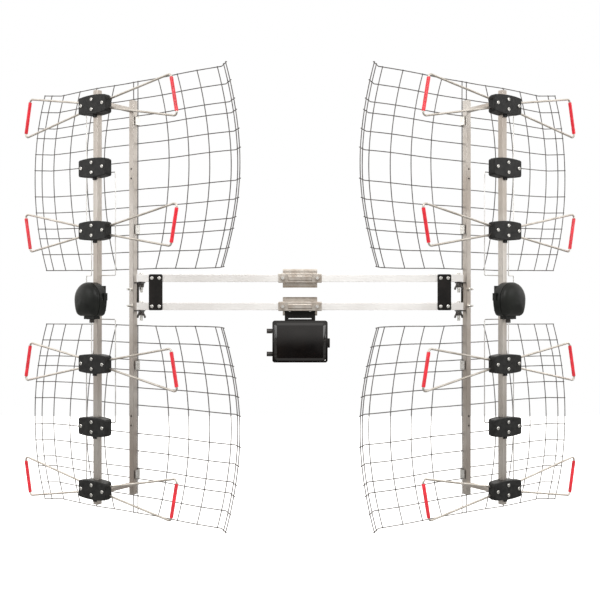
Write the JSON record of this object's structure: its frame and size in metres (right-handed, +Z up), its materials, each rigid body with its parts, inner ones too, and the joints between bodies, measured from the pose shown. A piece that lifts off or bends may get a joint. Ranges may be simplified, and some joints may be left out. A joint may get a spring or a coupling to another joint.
{
  "type": "bow-tie television antenna",
  "caption": "Mast-mounted antenna with two hinged bow-tie panels, bent wire screens behind them, a two-bar cross-arm, mast clamps and a combiner box.",
  "frame": {"origin": "on the mast's axis, midway between the two bars of the cross-arm", "axes": "+X right seen from the front, front is -Y, +Z up"},
  "size_m": [1.1502, 0.3485, 0.869],
  "materials": {
    "aluminium_tube": "extruded aluminium tube, satin with faint draw lines",
    "aluminium_wire": "drawn aluminium wire, satin",
    "coated_wire": "dark coated steel wire, satin",
    "black_insulator": "moulded black plastic, finely textured",
    "balun_shell": "moulded black plastic, satin",
    "combiner_shell": "moulded black plastic, gloss",
    "red_vinyl": "soft red vinyl sleeve, gloss",
    "black_steel": "black coated pressed steel",
    "clamp_steel": "zinc plated pressed steel",
    "bright_hardware": "bright zinc plated fasteners",
    "connector": "nickel plated coaxial connector",
    "circuit_board": "circuit board with solder mask",
    "gasket_rubber": "soft black rubber"
  },
  "bodies": {
    "root": {"combiner_base": "combiner_shell", "combiner_board": "circuit_board", "combiner_bracket": "black_steel", "combiner_cover": "combiner_shell", "combiner_gasket": "gasket_rubber", "combiner_ports": "connector", "combiner_screws": "bright_hardware", "hinge_bolts": "bright_hardware", "left_tie_plate": "black_steel", "lower_arm_bar": "aluminium_tube", "lower_clamp_channel": "clamp_steel", "lower_v_jaw": "clamp_steel", "right_tie_plate": "black_steel", "tie_plate_screws": "bright_hardware", "u_bolt_nuts": "clamp_steel", "upper_arm_bar": "aluminium_tube", "upper_clamp_channel": "clamp_steel", "upper_v_jaw": "clamp_steel"},
    "left_panel": {"left_balun_back": "balun_shell", "left_balun_board": "circuit_board", "left_balun_cover": "balun_shell", "left_balun_port": "connector", "left_front_tube": "aluminium_tube", "left_hinge_bracket": "black_steel", "left_insulator_backs": "black_insulator", "left_insulator_covers": "black_insulator", "left_insulator_screws": "bright_hardware", "left_lower_screen": "coated_wire", "left_panel_fasteners": "bright_hardware", "left_phase_lines": "aluminium_wire", "left_rear_tube": "aluminium_tube", "left_screen_clips": "bright_hardware", "left_standoff_arms": "aluminium_tube", "left_tip_sleeves": "red_vinyl", "left_upper_screen": "coated_wire", "left_whiskers": "aluminium_wire"},
    "left_lower_wing_nut": {"left_lower_wing_nut": "bright_hardware"},
    "left_upper_wing_nut": {"left_upper_wing_nut": "bright_hardware"},
    "lower_u_bolt": {"lower_u_bolt": "bright_hardware"},
    "right_panel": {"right_balun_back": "balun_shell", "right_balun_board": "circuit_board", "right_balun_cover": "balun_shell", "right_balun_port": "connector", "right_front_tube": "aluminium_tube", "right_hinge_bracket": "black_steel", "right_insulator_backs": "black_insulator", "right_insulator_covers": "black_insulator", "right_insulator_screws": "bright_hardware", "right_lower_screen": "coated_wire", "right_panel_fasteners": "bright_hardware", "right_phase_lines": "aluminium_wire", "right_rear_tube": "aluminium_tube", "right_screen_clips": "bright_hardware", "right_standoff_arms": "aluminium_tube", "right_tip_sleeves": "red_vinyl", "right_upper_screen": "coated_wire", "right_whiskers": "aluminium_wire"},
    "right_lower_wing_nut": {"right_lower_wing_nut": "bright_hardware"},
    "right_upper_wing_nut": {"right_upper_wing_nut": "bright_hardware"},
    "upper_u_bolt": {"upper_u_bolt": "bright_hardware"}
  },
  "joints": [
    {"name": "left_panel_swivel", "type": "hinge", "parent": "root", "child": "left_panel", "pos_m": [-0.316, -0.042, 0], "axis": [0, 0, -1], "range_deg": [-34, 56]},
    {"name": "right_panel_swivel", "type": "hinge", "parent": "root", "child": "right_panel", "pos_m": [0.316, -0.042, 0], "axis": [0, 0, 1], "range_deg": [-34, 56]},
    {"name": "left_upper_wing_nut_spin", "type": "hinge", "parent": "root", "child": "left_upper_wing_nut", "pos_m": [-0.316, -0.042, 0.01], "axis": [0, 0, 1], "continuous": true},
    {"name": "left_lower_wing_nut_spin", "type": "hinge", "parent": "root", "child": "left_lower_wing_nut", "pos_m": [-0.316, -0.042, -0.045], "axis": [0, 0, 1], "continuous": true},
    {"name": "right_upper_wing_nut_spin", "type": "hinge", "parent": "root", "child": "right_upper_wing_nut", "pos_m": [0.316, -0.042, 0.01], "axis": [0, 0, 1], "continuous": true},
    {"name": "right_lower_wing_nut_spin", "type": "hinge", "parent": "root", "child": "right_lower_wing_nut", "pos_m": [0.316, -0.042, -0.045], "axis": [0, 0, 1], "continuous": true},
    {"name": "upper_u_bolt_slide", "type": "slide", "parent": "root", "child": "upper_u_bolt", "axis": [0, -1, 0], "range_m": [0, 0.015]},
    {"name": "lower_u_bolt_slide", "type": "slide", "parent": "root", "child": "lower_u_bolt", "axis": [0, -1, 0], "range_m": [0, 0.015]}
  ]
}
